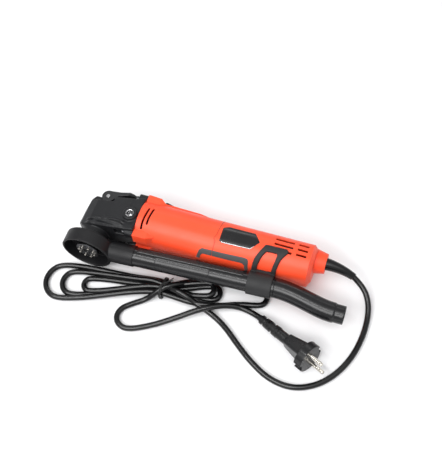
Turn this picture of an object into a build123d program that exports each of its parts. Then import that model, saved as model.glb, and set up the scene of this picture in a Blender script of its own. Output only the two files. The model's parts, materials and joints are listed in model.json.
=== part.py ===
"""Corded oscillating multi tool with its dust extraction kit, lying on its side.

Millimetres.  The model is laid out in the tool's own axes and shifted once, when it is written:
X runs along the motor from the gear head to the cord, Y from the working end of the spindle to
the top of the tool, Z from the side it lies on to the side that faces up.  The zero of those
axes is where the spindle's axis meets the motor's axis.  The row's origin is the centre of the
tool's footprint (without its cord), on the surface it lies on.
"""
from build123d import *
import math
import os

# ---- driving dimensions ------------------------------------------------------------------
REST_Z = 31.5            # half width of the tool where it touches the floor
X_END = 320.0            # end of the dust outlet
X_START = -31.5          # outer wall of the dust hood
Y_TOP = 33.0             # top of the slide switch
Y_LOW = -59.0            # front rim of the dust hood

BODY_Y = 26.0            # half height of the motor housing
BODY_Z = 29.0            # half width of the motor housing
BODY_R = 23.0            # corner radius of its section
WALL = 2.5               # housing wall
HEAD_END = 52.0          # joint between gear head and motor housing
SPLIT_X = 152.0          # joint between motor housing and rear covers
REAR_X = 266.0           # end of the rear covers' full section
REAR_TOP, REAR_LOW, REAR_Z, REAR_R = 27.0, -19.5, 27.0, 21.0

NECK_Y = 12.0            # height of the cord entry
NECK_R = 12.0
NECK_END = 283.0

BOSS_Y, BOSS_Z = 24.0, 15.0      # the four corner screws between head and housing
SCREW_R = 2.0                    # M4

SPINDLE_R = 6.0
FLANGE_R = 14.5
FLANGE_FACE = -56.0
PIN_CIRCLE_R = 10.0
PIN_COUNT = 8
PIN_R = 1.25
NECK_COLLAR_R = 17.0

ECCENTRICITY = 0.5
BEARING_688_R = 8.0

LEVER_X, LEVER_Y = 1.0, 16.5     # lever pivot
LEVER_ANGLE = 120.0
CLAMP_LIFT = 3.0

HOOD_R = 31.5
HOOD_WALL = 2.6
HOOD_FRONT, HOOD_BACK = Y_LOW, -41.0

TUBE_R, TUBE_WALL = 12.0, 1.8
TUBE_SLOPE = 3.2                 # degrees, the tube follows the tapered belly of the tool
TUBE_Y0 = -49.0                  # height of the tube's axis above the spindle axis

HANDLE_X, HANDLE_Y = 41.5, -6.0  # side handle thread
M8_TAP_R = 3.4

CORD_R = 3.5
FLOOR = -REST_Z
CORD_Z = FLOOR + CORD_R
CROSS_Z = CORD_Z + 2 * CORD_R + 1.5

NODES = {}


# ---- small helpers -----------------------------------------------------------------------
def block(x0, x1, y0, y1, z0, z1):
    return Pos((x0 + x1) / 2, (y0 + y1) / 2, (z0 + z1) / 2) * Box(x1 - x0, y1 - y0, z1 - z0)


def xcyl(r, x0, x1, y=0.0, z=0.0):
    return Pos((x0 + x1) / 2, y, z) * Rot(0, 90, 0) * Cylinder(r, x1 - x0)


def ycyl(r, y0, y1, x=0.0, z=0.0):
    return Pos(x, (y0 + y1) / 2, z) * Rot(90, 0, 0) * Cylinder(r, y1 - y0)


def zcyl(r, z0, z1, x=0.0, y=0.0):
    return Pos(x, y, (z0 + z1) / 2) * Cylinder(r, z1 - z0)


def xring(r_out, r_in, x0, x1, y=0.0, z=0.0):
    return xcyl(r_out, x0, x1, y, z) - xcyl(r_in, x0 - 1, x1 + 1, y, z)


def yring(r_out, r_in, y0, y1):
    return ycyl(r_out, y0, y1) - ycyl(r_in, y0 - 1, y1 + 1)


def side_prism(points, z0, z1, radius=0.0):
    """A flat outline in X and Y, given thickness along Z."""
    face = make_face(Polyline(*points, close=True))
    if radius:
        face = fillet(face.vertices(), radius)
    return Pos(0, 0, z0) * extrude(face, z1 - z0, dir=(0, 0, 1))


def top_prism(points, y0, y1, radius=0.0):
    """A flat outline in X and Z, given thickness along Y."""
    face = make_face(Polyline(*points, close=True))
    if radius:
        face = fillet(face.vertices(), radius)
    solid = extrude(face, y1 - y0, dir=(0, 0, 1))
    return Pos(0, y1, 0) * Rot(90, 0, 0) * solid


def section(x, y0, y1, half_z, r, off=0.0):
    plane = Plane(origin=(x, (y0 + y1) / 2, 0), x_dir=(0, 1, 0), z_dir=(1, 0, 0))
    return plane * RectangleRounded(y1 - y0 + 2 * off, 2 * (half_z + off), r + off)


def front_form(off=0.0, x0=HEAD_END, x1=SPLIT_X):
    return extrude(section(x0, -BODY_Y, BODY_Y, BODY_Z, BODY_R, off), x1 - x0, dir=(1, 0, 0))


def rear_form(off=0.0):
    first = section(SPLIT_X, -BODY_Y, BODY_Y, BODY_Z, BODY_R, off)
    last = section(REAR_X, REAR_LOW, REAR_TOP, REAR_Z, REAR_R, off)
    return loft([first, last], ruled=True)


def both_sides(solid):
    return solid + mirror(solid, about=Plane.XY)


def add(name, solid):
    NODES[name] = solid


# ---- gear head ---------------------------------------------------------------------------
def gear_head():
    side = [(-23, -25), (-22, -8), (-19, 9), (-13.5, 14.5), (16, 15), (40, 17.5), (HEAD_END, 22),
            (HEAD_END, -24.5), (40, -26.5), (20, -28), (-17, -28)]
    half = [(HEAD_END, 27), (36, 26.5), (12, 23), (-8, 18), (-19, 11.5), (-24, 4)]
    plan = half + [(x, -z) for x, z in reversed(half)]
    head = side_prism(side, -28, 28, 1.6) & top_prism(plan, -30, 24, 1.5)
    head += ycyl(NECK_COLLAR_R, -39, -27)
    fin = side_prism([(-12, -21.5), (4, -19), (28, -20), (46, -23.5), (46, -25.5), (16, -24.5)], 10, 26.6)
    plan_fin = top_prism([(-14, 0), (-14, 18), (-6, 20.5), (14, 25), (34, 28), (46, 28), (46, 0)], -30, 0)
    head += both_sides(fin & plan_fin)
    lug = block(40.5, HEAD_END, 14, BOSS_Y + 5.5, BOSS_Z - 5.5, BOSS_Z + 6.8)
    lug = chamfer(lug.edges().filter_by(Axis.X).sort_by(Axis.Y)[-2:], 2)
    lower = mirror(block(40.5, HEAD_END, 14, BOSS_Y + 5.5, BOSS_Z - 5.5, BOSS_Z + 6.8), about=Plane.XZ)
    lower = chamfer(lower.edges().filter_by(Axis.X).sort_by(Axis.Y)[:2], 2)
    for part in (lug, lower):
        head += both_sides(part)
    collar = zcyl(8.7, 20, REST_Z, HANDLE_X, HANDLE_Y)
    head += both_sides(collar)

    ear = block(LEVER_X - 5.5, LEVER_X + 5.5, 9, LEVER_Y, 6, 13.6)
    ear += zcyl(5.5, 6, 13.6, LEVER_X, LEVER_Y)
    shoulder = block(-30, 13, 8.2, 30, 13.9, 30)
    head -= both_sides(shoulder)
    head += both_sides(ear)
    head -= zcyl(9.4, -5.9, 5.9, LEVER_X, LEVER_Y)
    head -= both_sides(zcyl(2.5, 5, 15, LEVER_X, LEVER_Y))

    head -= block(-12, 46, -14, 4, -15, 15)
    head -= xcyl(12, 13, 46)
    head -= xcyl(21.55, 44, HEAD_END + 1)
    head -= ycyl(10.55, 3, 9.2)
    head -= ycyl(3.3, 8, 18)
    head -= ycyl(10.2, -20.5, -10)
    head -= ycyl(14.05, -40, -20)

    for y in (-BOSS_Y, BOSS_Y):
        for z in (-BOSS_Z, BOSS_Z):
            head -= xcyl(SCREW_R + 0.1, 38, HEAD_END + 1, y, z)
    pocket = block(27, 40.5, -31, -19.2, BOSS_Z - 4.6, BOSS_Z + 4.6)
    head -= both_sides(pocket)
    insert = zcyl(6.05, 21.9, 33, HANDLE_X, HANDLE_Y)
    head -= both_sides(insert)
    return head


def side_handle_inserts():
    one = zcyl(6.0, 22.0, 31.0, HANDLE_X, HANDLE_Y) - zcyl(M8_TAP_R, 23.2, 32, HANDLE_X, HANDLE_Y)
    one -= Pos(HANDLE_X, HANDLE_Y, 30.4) * Cone(M8_TAP_R, M8_TAP_R + 1.2, 1.21)
    return both_sides(one)


def gear_head_screws():
    group = None
    for y in (-BOSS_Y, BOSS_Y):
        for z in (-BOSS_Z, BOSS_Z):
            head = xcyl(3.6, 36.9, 40.5, y, z)
            socket = Pos(36.9, y, z) * Rot(0, 90, 0) * extrude(RegularPolygon(1.75, 6), 4, both=True)
            screw = head - (socket & xcyl(3, 36, 38.9, y, z)) + xcyl(SCREW_R, 40.5, 66, y, z)
            group = screw if group is None else group + screw
    return group


# ---- spindle and tool holder -------------------------------------------------------------
def spindle():
    body = ycyl(SPINDLE_R, -55, 9.0) - ycyl(3.2, -60, 12)
    return body - ycyl(5.2, -60, -50.5)


def fork_lever():
    hub = ycyl(9.8, -6.8, 3.4)
    arm = block(5, 29, -4, 3.4, -13.4, 13.4) - block(17, 30, -5, 4, -9.4, 9.4)
    return hub + arm - ycyl(SPINDLE_R + 0.02, -8, 5)


def ball_bearing(name, ring, r_out, r_in, lo, hi):
    """Outer and inner rings with balls between them, as one closed ring with grooved faces."""
    body = ring(r_out, r_in, lo, hi)
    mid = (r_out + r_in) / 2
    groove = (r_out - r_in) * 0.16
    for a, b in ((lo - 1, lo + 0.7), (hi - 0.7, hi + 1)):
        body -= ring(mid + groove, mid - groove, a, b)
    add(name, body)


def tool_flange():
    flange = ycyl(FLANGE_R, FLANGE_FACE, -51) + ycyl(9.5, -51, -41.5)
    flange = flange - ycyl(SPINDLE_R + 0.02, -55, -40) - ycyl(5.3, -57, -50)
    rim = flange.edges().filter_by(GeomType.CIRCLE).sort_by(Axis.Y)[:2]
    return chamfer([e for e in rim if abs(e.radius - FLANGE_R) < 0.1], 0.8)


def pin_places():
    step = 360 / PIN_COUNT
    return [(PIN_CIRCLE_R * math.cos(math.radians(step * (k + 0.5))),
             PIN_CIRCLE_R * math.sin(math.radians(step * (k + 0.5)))) for k in range(PIN_COUNT)]


def flange_pins():
    group = None
    for x, z in pin_places():
        pin = ycyl(PIN_R, FLANGE_FACE - 2.4, FLANGE_FACE, x, z)
        tip = pin.edges().filter_by(GeomType.CIRCLE).sort_by(Axis.Y)[0]
        pin = chamfer(tip, 0.4)
        group = pin if group is None else group + pin
    return group


def clamp_rod():
    rod = ycyl(3.0, -49, 11.9) + ycyl(4.9, -55.2, -50.7) + ycyl(2.2, -51, -48)
    hexagon = Pos(0, -55.2, 0) * Rot(90, 0, 0) * extrude(RegularPolygon(2.9, 6), 2.4, both=True)
    return rod - hexagon


# ---- quick clamp lever -------------------------------------------------------------------
def spiral(theta):
    """Cam radius at a lever angle: it rises evenly and pushes the clamp rod down."""
    return 4.2 + CLAMP_LIFT * theta / LEVER_ANGLE


def clamp_lever():
    def at(points):
        return [(LEVER_X + x, LEVER_Y + y) for x, y in points]

    arm = [(13.5, 3.8), (22, 7.0), (30, 10.0), (37, 10.8), (38.2, 12.4), (37, 13.6), (28, 13.2), (13.5, 9.4)]
    plate = side_prism(at(arm), -17, 17)
    half = [(14, 17), (26, 17), (31, 12.6), (33.5, 10.8), (38.5, 10.8), (40.2, 8)]
    plan = half + [(x, -z) for x, z in reversed(half)]
    plate = plate & top_prism(plan, 10, 40, 0.8)
    cheek = side_prism(at([(-2, 7.7), (13.5, 9.4), (22, 11.6), (22, 7.0), (13.5, 3.8), (6, -5.2), (0, -7.9)]),
                       14.2, 17)
    cheek += zcyl(8, 14.2, 17, LEVER_X, LEVER_Y)
    cam = [(spiral(t) * math.cos(math.radians(-90 - t)), spiral(t) * math.sin(math.radians(-90 - t)))
           for t in range(0, int(LEVER_ANGLE) + 1, 10)]
    web = at(cam + [(-3.5, 7.9), (14, 9.4), (14, 4), (4.2, 0), (2.97, -2.97)])
    lever = both_sides(cheek) + plate + side_prism(web, -5.4, 5.4)
    return lever - zcyl(2.55, -20, 20, LEVER_X, LEVER_Y)


def lever_pin():
    pin = zcyl(2.5, -17.9, 17.9, LEVER_X, LEVER_Y)
    return chamfer(pin.edges().filter_by(GeomType.CIRCLE), 0.5)


# ---- motor -------------------------------------------------------------------------------
def rotor_shaft():
    return xcyl(4.0, 19, 157)


def eccentric_bush():
    return xcyl(5.1, 19.5, 27.5, 0, ECCENTRICITY) - xcyl(4.02, 18, 29)


def eccentric_bearing():
    body = xcyl(BEARING_688_R, 21, 26, 0, ECCENTRICITY) - xcyl(5.12, 20, 27, 0, ECCENTRICITY)
    for a, b in ((20, 21.6), (25.4, 27)):
        body -= xcyl(7.2, a, b, 0, ECCENTRICITY) - xcyl(6.1, a, b, 0, ECCENTRICITY)
    return body


def cooling_fan():
    fan = xcyl(22.4, 54.5, 56) + xcyl(8, 56, 64)
    for k in range(12):
        blade = block(56, 64, 8, 22.2, -0.7, 0.7)
        fan += Rot(k * 30, 0, 0) * Pos(0, 0, 2) * blade
    return (fan & xcyl(22.4, 54, 65)) - xcyl(4.02, 50, 66)


def armature_core():
    core = xring(15.0, 4.02, 76, 112)
    for k in range(12):
        slot = block(75, 113, 10.5, 16, -0.9, 0.9)
        core -= Rot(k * 30 + 15, 0, 0) * slot
    return core


def armature_windings():
    def head(x0, x1):
        return fillet(xcyl(13.4, x0, x1).edges().filter_by(GeomType.CIRCLE), 2.5) - xcyl(4.02, x0 - 1, x1 + 1)
    return head(68, 75.95) + head(112.05, 121)


def commutator():
    body = xring(8.5, 4.02, 122.5, 138)
    for k in range(24):
        body -= Rot(k * 15, 0, 0) * block(122, 139, 7.7, 9, -0.15, 0.15)
    return body


def stator_core():
    return xring(22.0, 15.6, 76, 112)


def field_coils():
    group = None
    for x0, x1 in ((67.5, 75.9), (112.1, 120)):
        ring = xring(21.4, 16.2, x0, x1)
        for sign in (-1, 1):
            half = ring & block(x0, x1, min(0, sign * 22), max(0, sign * 22), -18, 18)
            half -= block(x0 - 1, x1 + 1, -4, 4, -30, 30)
            group = half if group is None else group + half
    return group


def fan_baffle():
    return xring(22.9, 17, 65, 66.3)


def motor_bearing_plate():
    plate = xcyl(21.5, 45.5, HEAD_END - 0.1) - xcyl(11.02, 46, HEAD_END + 1) - xcyl(8, 44, 47)
    for k in range(4):
        plate -= Rot(k * 90, 0, 0) * Pos(49, 16.3, 0) * Rot(0, 90, 0) * Cylinder(2.2, 10)
    return plate


def brush_holders():
    one = block(127, 137, -6, 6, 10.2, 23.5) - block(128.6, 135.4, -4.1, 4.1, 9, 25)
    one += block(127, 137, -6, 6, 23.5, 25)
    return both_sides(one)


def carbon_brushes():
    return both_sides(block(128.7, 135.3, -4, 4, 8.7, 17) - xcyl(8.6, 120, 140))


def brush_springs():
    return both_sides(zcyl(3.0, 17.1, 23.4, 132, 0) - zcyl(2.0, 16, 24, 132, 0))


# ---- housings ----------------------------------------------------------------------------
def screw_bosses():
    """Four blocks on the front corners that take the gear head screws."""
    boss = side_prism([(HEAD_END, 14), (HEAD_END, 30), (69, 29.2), (77, 24), (79, 14)], 6, BOSS_Z + 6.9)
    boss = boss & top_prism([(HEAD_END, 4), (HEAD_END, 22), (69, 21.4), (79, 17), (79, 4)], 10, 32)
    group = both_sides(boss)
    return group + mirror(group, about=Plane.XZ)


def motor_housing():
    shell = front_form()
    pad = side_prism([(66, 20), (66, 28.4), (120, 27.2), (131, 25.4), (131, 20)], -13, 13)
    shell = shell + screw_bosses() + pad
    shell -= front_form(-WALL, HEAD_END - 1, SPLIT_X + 1)
    for y in (-BOSS_Y, BOSS_Y):
        for z in (-BOSS_Z, BOSS_Z):
            pillar = xcyl(4.2, HEAD_END, 70, y, z) & front_form(0, HEAD_END, 72)
            shell += pillar
    shell -= xcyl(23.0, HEAD_END - 1, 66.5)
    for y in (-BOSS_Y, BOSS_Y):
        for z in (-BOSS_Z, BOSS_Z):
            shell -= xcyl(SCREW_R + 0.05, HEAD_END - 1, 67, y, z)
    ribs = None
    for x0, x1 in ((77, 80), (108, 111)):
        rib = front_form(-WALL + 0.2, x0, x1) - xcyl(22.05, x0 - 1, x1 + 1) - block(x0 - 1, x1 + 1, 20, 30, -6, 6)
        ribs = rib if ribs is None else ribs + rib
    seat = front_form(-WALL + 0.2, 143, 149) - xcyl(9.55, 142, 150) - block(142, 150, 14, 30, -6, 6)
    for k in range(4):
        seat -= Rot(k * 90 + 45, 0, 0) * Pos(146, 16.5, 0) * Rot(0, 90, 0) * Cylinder(4, 8)
    shell = shell + ribs + seat
    for x, y0, y1 in ((60.5, -18, 8), (66.3, -12, 8.5)):
        arc = ThreePointArc((x - 0.6, y0), (x - 0.3, (y0 + y1) / 2), (x + 1.2, y1))
        shell -= both_sides(Pos(0, 0, 20) * extrude(SlotArc(arc, 2.7), 12))
    shell -= block(68, 97, 20, 32, -5, 5)
    return shell


def rear_shell():
    """Outer form of the rear covers with the chamfered end and the cord neck."""
    form = rear_form()
    tail = loft([section(REAR_X, REAR_LOW, REAR_TOP, REAR_Z, REAR_R),
                 section(REAR_X + 4, REAR_LOW + 6, REAR_TOP - 3, REAR_Z - 7, REAR_R - 4)], ruled=True)
    cone = loft([Plane(origin=(REAR_X + 1, NECK_Y, 0), z_dir=(1, 0, 0)) * Circle(15.5),
                 Plane(origin=(NECK_END, NECK_Y, 0), z_dir=(1, 0, 0)) * Circle(NECK_R)], ruled=True)
    return form + tail + cone


def rear_inner():
    first = section(SPLIT_X - 1, -BODY_Y, BODY_Y, BODY_Z, BODY_R, -WALL)
    last = section(REAR_X, REAR_LOW, REAR_TOP, REAR_Z, REAR_R, -WALL)
    return loft([first, last], ruled=True) + xcyl(8.2, REAR_X - 2, 277.5, NECK_Y) + xcyl(6.6, 276, 290, NECK_Y)


COVER_SCREWS = ((156, -14), (156, 14), (252, -11), (252, 19.5))
DIAL_X, DIAL_Y, DIAL_R = 236.0, 18.0, 10.0


def rear_covers():
    shell = rear_shell() - rear_inner()
    for x, y in COVER_SCREWS:
        post = zcyl(3.6, -27, 27, x, y) & rear_form(-1)
        shell += post
    for x0, x1, rows in ((220.5, 243.3, (13.8, 6.6, -0.8)), (248.7, 260.8, (14.2, 7.1, 0.0))):
        for y in rows:
            shell -= block(x0, x1, y - 1.55, y + 1.55, 20, 32) + block(x0, x1, y - 1.55, y + 1.55, -32, -20)
    shell -= block(DIAL_X - 8.4, DIAL_X + 8.4, 14, 30, -3.2, 3.2)
    left = shell & block(SPLIT_X, 300, -40, 40, 0, 40)
    right = shell & block(SPLIT_X, 300, -40, 40, -40, 0)
    for x, y in COVER_SCREWS:
        left -= zcyl(1.45, -1, 12, x, y)
        right -= zcyl(1.7, -30, 1, x, y)
        right -= zcyl(3.2, -32, -16, x, y)
    return left, right


def cover_screws():
    group = None
    for x, y in COVER_SCREWS:
        screw = zcyl(3.0, -18, -16, x, y) + zcyl(1.4, -16, 11, x, y)
        screw -= block(x - 0.5, x + 0.5, y - 2, y + 2, -18.5, -17.2)
        screw -= block(x - 2, x + 2, y - 0.5, y + 0.5, -18.5, -17.2)
        group = screw if group is None else group + screw
    return group


def label_plates():
    outline = [(157, -9), (156.6, 8.6), (162.5, 12), (195.5, 12.6), (204, 2), (195.5, -9.4), (160.5, -11)]
    shell = rear_form(0.55) - rear_form(0.04)
    left = shell & side_prism(outline, 15, 35)
    return left, mirror(left, about=Plane.XY)


def soft_grips():
    """An inverted U of soft rubber on each flank, in a front and a rear length."""
    def u_shape(x0, x1):
        outer = [(131, -32), (135, -23.3), (138.8, -20.7), (164, -19.8), (191, -18.3), (194.6, -18.7), (196.5, -21),
                 (196.5, -32)]
        inner = [(136.5, -33), (137.4, -26), (139.6, -24.8), (165, -24.1), (188.8, -22.8), (191, -23.6),
                 (191.7, -33)]
        shape = side_prism(outer, 3, 35)
        hollow = side_prism(inner, 2, 36)
        return (shape - hollow) & block(x0, x1, -40, 0, 0, 40)

    front = (front_form(0.7) - front_form(0.04)) & u_shape(130, SPLIT_X - 0.1)
    rear = (rear_form(0.7) - rear_form(0.04)) & u_shape(SPLIT_X + 0.1, 200)
    left = front + rear
    return left, mirror(left, about=Plane.XY)


def slide_knob():
    knob = side_prism([(70.5, 28.8), (70.5, 31.4), (72, Y_TOP), (74.5, Y_TOP), (86, 30.2), (88, 28.8)], -8, 8)
    return knob + block(72, 84, 23.35, 29, -4.6, 4.6)


def switch_rod():
    return block(73, 164, 22.2, 23.3, -2.5, 2.5) + block(160, 164, 15, 22.2, -2.5, 2.5)


def power_switch():
    return block(174, 200, 6, 19.8, -9, 9) + block(171.3, 174, 15.5, 19, -2.5, 2.5)


def speed_dial():
    dial = zcyl(DIAL_R, -2.6, 2.6, DIAL_X, DIAL_Y) - zcyl(1.5, -4, 4, DIAL_X, DIAL_Y)
    for k in range(24):
        a = math.radians(15 * k)
        notch_r = DIAL_R + 0.1
        dial -= zcyl(0.55, -3, 3, DIAL_X + notch_r * math.cos(a), DIAL_Y + notch_r * math.sin(a))
    return dial


def dial_potentiometer():
    body = block(DIAL_X - 6, DIAL_X + 6, DIAL_Y - 6, DIAL_Y + 5, 3.0, 9.0)
    return body + zcyl(1.45, -2.6, 3.0, DIAL_X, DIAL_Y)


def speed_board():
    board = block(204, 240, -6, -4.4, -20, 20)
    for x, z, w, h in ((212, -10, 9, 7), (212, 8, 7, 6), (226, 0, 10, 8), (234, -12, 6, 4)):
        board += block(x - w / 2, x + w / 2, -4.4, -4.4 + h, z - w / 2, z + w / 2)
    return board


def cord_clamp():
    bar = block(258, 264, NECK_Y + CORD_R + 0.05, NECK_Y + 6.5, -10, 10)
    bars = bar + block(258, 264, NECK_Y - 6.5, NECK_Y - CORD_R - 0.05, -10, 10)
    for z in (-7.5, 7.5):
        bars -= ycyl(1.55, NECK_Y - 8, NECK_Y + 8, 261, z)
    return bars


def cord_clamp_screws():
    one = ycyl(1.5, NECK_Y - 6.4, NECK_Y + 6.5, 261, 7.5) + ycyl(2.6, NECK_Y + 6.5, NECK_Y + 8.2, 261, 7.5)
    return both_sides(one)


GUARD_TIP = Vector(317.2, 9.7, -9.6)
GUARD_DIR = Vector(0.85, -0.35, -0.39).normalized()


def cord_guard():
    collar = xcyl(8.0, 272.5, 277.3, NECK_Y) + xcyl(6.4, 277, NECK_END + 1, NECK_Y)
    rings = [(Vector(NECK_END, NECK_Y, 0), Vector(1, 0, 0), 7.6),
             (Vector(301, 11.6, -3.0), Vector(0.96, -0.12, -0.25), 5.9),
             (GUARD_TIP, GUARD_DIR, 4.6)]
    sleeve = loft([Plane(origin=p, z_dir=d) * Circle(r) for p, d, r in rings])
    return collar + sleeve


# ---- dust extraction kit -----------------------------------------------------------------
def tube_y(x):
    return TUBE_Y0 + math.tan(math.radians(TUBE_SLOPE)) * x


def along_tube(r, x0, x1):
    """A cylinder on the sloping axis of the dust tube."""
    a = math.radians(TUBE_SLOPE)
    plane = Plane(origin=(x0, tube_y(x0), 0), x_dir=(0, 0, 1), z_dir=(math.cos(a), math.sin(a), 0))
    return extrude(plane * Circle(r), (x1 - x0) / math.cos(a))


def dust_hood():
    hood = ycyl(HOOD_R, HOOD_FRONT, HOOD_BACK)
    back = hood.edges().filter_by(GeomType.CIRCLE).sort_by(Axis.Y)[-1]
    hood = fillet(back, 2.0) + ycyl(21, HOOD_BACK - 1, -35.5) + along_tube(TUBE_R + 1.0, 12, 60)
    hood -= block(-40, 62, HOOD_FRONT - 10, HOOD_FRONT, -40, 40)
    hood -= ycyl(HOOD_R - HOOD_WALL, HOOD_FRONT - 1, HOOD_BACK - 2.6)
    hood -= ycyl(NECK_COLLAR_R + 0.05, -60, -30)
    hood -= along_tube(9.6, 14, 61)
    hood -= along_tube(TUBE_R + 0.06, 48, 61)
    return hood - block(-24, -16, -41.2, -30, -0.8, 0.8)


def hood_clamp_screw():
    return zcyl(1.6, -6, 6, -22.6, -38.3)


def dust_tube():
    tube = along_tube(TUBE_R, 48.5, 233) - along_tube(TUBE_R - TUBE_WALL, 47, 235)
    return tube


def elbow_path():
    a = math.radians(TUBE_SLOPE)
    start = Vector(233.2, tube_y(233.2), 0)
    return Spline(start, Vector(262, -38.6, 0), Vector(290, -44.6, 0), Vector(X_END - 12, -46.2, 0),
                  tangents=((math.cos(a), math.sin(a), 0), (1, 0, 0)))


def outlet_elbow():
    path = elbow_path()
    start = Plane(origin=path @ 0, z_dir=path % 0)
    outer = sweep(start * Circle(TUBE_R), path=path)
    inner = sweep(start * Circle(TUBE_R - TUBE_WALL), path=path)
    end = path @ 1
    outer += xcyl(TUBE_R - 0.9, end.X - 0.5, X_END, end.Y)
    inner += xcyl(TUBE_R - TUBE_WALL - 0.9, end.X - 1, X_END + 1, end.Y)
    return outer - inner


STRAP = 3.3              # thickness of the clip's band, which reaches the floor beside the motor


def strap_clip():
    """C-clip round the body with a sleeve that carries the tube."""
    outline = [(212, 0.4), (237.5, 1.6), (240.2, -1.6), (233.6, -12), (230.4, -22), (229.4, -34), (231, -60),
               (201, -60), (199.5, -34), (203, -18)]
    window = [(215, -7.2), (227.4, -6.4), (228.3, -9), (227.5, -15), (223.2, -30), (206.6, -30), (207.2, -24),
              (211.2, -13.6)]
    ring = rear_form(STRAP) - rear_form(0.1)
    band = ring & side_prism(outline, -40, 40, 2.0)
    band -= both_sides(side_prism(window, 9.2, 40))
    sleeve = along_tube(TUBE_R + 2.2, 201, 230.5)
    fill = block(203, 229, tube_y(216), -20.5, -9, 9)
    clip = band + ((sleeve + fill) - rear_form(0.1))
    return clip - along_tube(TUBE_R + 0.06, 190, 240)


# ---- cord, hank and plug -----------------------------------------------------------------
LEAD_ROUTE = [
    tuple(GUARD_TIP + GUARD_DIR * 17), (342.5, -12.5, -23), (346, -33, CORD_Z), (345, -58, CORD_Z),
    (339, -84, CORD_Z), (327, -108, CORD_Z), (309, -127, CORD_Z), (284, -138, CORD_Z),
    (256, -135, CORD_Z), (231, -122, CORD_Z), (209, -106, CORD_Z), (191, -91.5, CORD_Z),
    (176, -82.5, CORD_Z), (161, -76.5, CORD_Z + 1), (146, -73, CORD_Z + 4),
]
LEAD_END = (131.5, -71, CORD_Z + 8)
TAIL_START = (92.5, -79.5, CORD_Z + 2.5)
TAIL_ROUTE = [
    (84, -85, CORD_Z), (71, -94.5, CORD_Z), (60.5, -103.5, CORD_Z), (58, -114.5, CORD_Z),
    (63.5, -124, CORD_Z), (77, -128, CORD_Z), (104, -114, CORD_Z), (129, -97.5, CORD_Z + 3.5),
    (150, -83.2, CROSS_Z), (170, -70.8, CROSS_Z), (189, -62.5, CORD_Z + 4.5), (207, -60.5, CORD_Z),
]
PLUG_TURN = -27.0
PLUG_TILT = 9.0
PLUG_START = (224.0, -66.9, CORD_Z + 3.0)


def arc_radii(points):
    """Each arc is as large as its two runs allow: 0.45 of the shorter run over tan(turn / 2)."""
    radii = []
    for a, b, c in zip(points, points[1:], points[2:]):
        before, after = Vector(b) - Vector(a), Vector(c) - Vector(b)
        half_turn = math.radians(before.get_angle(after)) / 2
        radii.append(0.45 * min(before.length, after.length) / math.tan(half_turn))
    return radii


def cord_tube(name, points):
    radii = arc_radii(points)
    path = FilletPolyline(*points, radius=radii)
    tube = sweep(Plane(origin=path @ 0, z_dir=path % 0) * Circle(CORD_R), path=path)
    ideal = math.pi * CORD_R ** 2 * path.length
    print(name, "length", round(path.length, 1), "volume ratio", round(tube.volume / ideal, 4),
          "radii", [round(r, 1) for r in radii])
    return tube


HANK_TOP = FLOOR + 14.6


def cord_hank():
    upper = [(-49, -92), (-43, -75), (-24, -65), (2, -62), (28, -60.5), (64, -56.5), (101, -51.5),
             (122, -44), (142, -34.5), (168, -30.5), (200, -28.5), (219, -29), (229, -41)]
    lower = [(221, -52.5), (204, -56), (184, -61), (164, -72), (140, -76), (101, -80.5), (76, -84.5),
             (48, -94), (20, -106), (-6, -116.5), (-28, -118.5), (-45, -107)]
    face = make_face(Polyline(*(upper + lower), close=True))
    face = fillet(face.vertices(), 5)
    body = Pos(0, 0, FLOOR) * extrude(face, HANK_TOP - FLOOR)
    body = fillet(body.edges().group_by(Axis.Z)[-1], 2.5)
    groove = block(98.5, 103.5, -90, -40, FLOOR - 1, HANK_TOP + 1)
    groove -= block(98, 104, -77.8, -54.2, FLOOR + 2.0, HANK_TOP - 2.0)
    return body - groove


def cord_tie():
    band = block(99, 103, -79.5, -52.5, FLOOR + 0.2, HANK_TOP - 0.2)
    band = fillet(band.edges().filter_by(Axis.X), 1.5)
    return band - block(98, 104, -77.9, -54.1, FLOOR + 1.9, HANK_TOP - 1.9)


def in_plug_axes(solid):
    """Moves a piece built along +X into the plug's own place, lying on the floor."""
    return Pos(*PLUG_START) * Rot(0, 0, PLUG_TURN) * Rot(0, -PLUG_TILT, 0) * solid


PLUG_PIN_SPACING = 19.0
PLUG_FACE = 82.0


def plug_boot():
    boot = Pos(16, 0, 0) * Rot(0, 90, 0) * Cone(4.4, 6.0, 32)
    for k in range(4):
        boot += xring(5.6 + 0.35 * k, 4.0, 4 + 7 * k, 6.6 + 7 * k)
    return boot


def plug_body():
    neck = xcyl(6.4, 32, 52)
    first = Plane(origin=(46, 0, 0), x_dir=(0, 1, 0), z_dir=(1, 0, 0)) * RectangleRounded(14, 14, 3)
    last = Plane(origin=(72, 0, 0), x_dir=(0, 1, 0), z_dir=(1, 0, 0)) * RectangleRounded(19, 29, 3)
    grip = loft([first, last], ruled=True)
    flange = xcyl(17.6, 72, PLUG_FACE)
    for sign in (-1, 1):
        flange -= block(71, 83, min(sign * 14.6, sign * 20), max(sign * 14.6, sign * 20), -4, 4)
    return neck + grip + flange


def plug_pins():
    group = None
    for sign in (-1, 1):
        pin = xcyl(2.4, PLUG_FACE, PLUG_FACE + 19, 0, sign * PLUG_PIN_SPACING / 2)
        pin = fillet(pin.edges().filter_by(GeomType.CIRCLE).sort_by(Axis.X)[-1], 1.8)
        group = pin if group is None else group + pin
    return group


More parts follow.
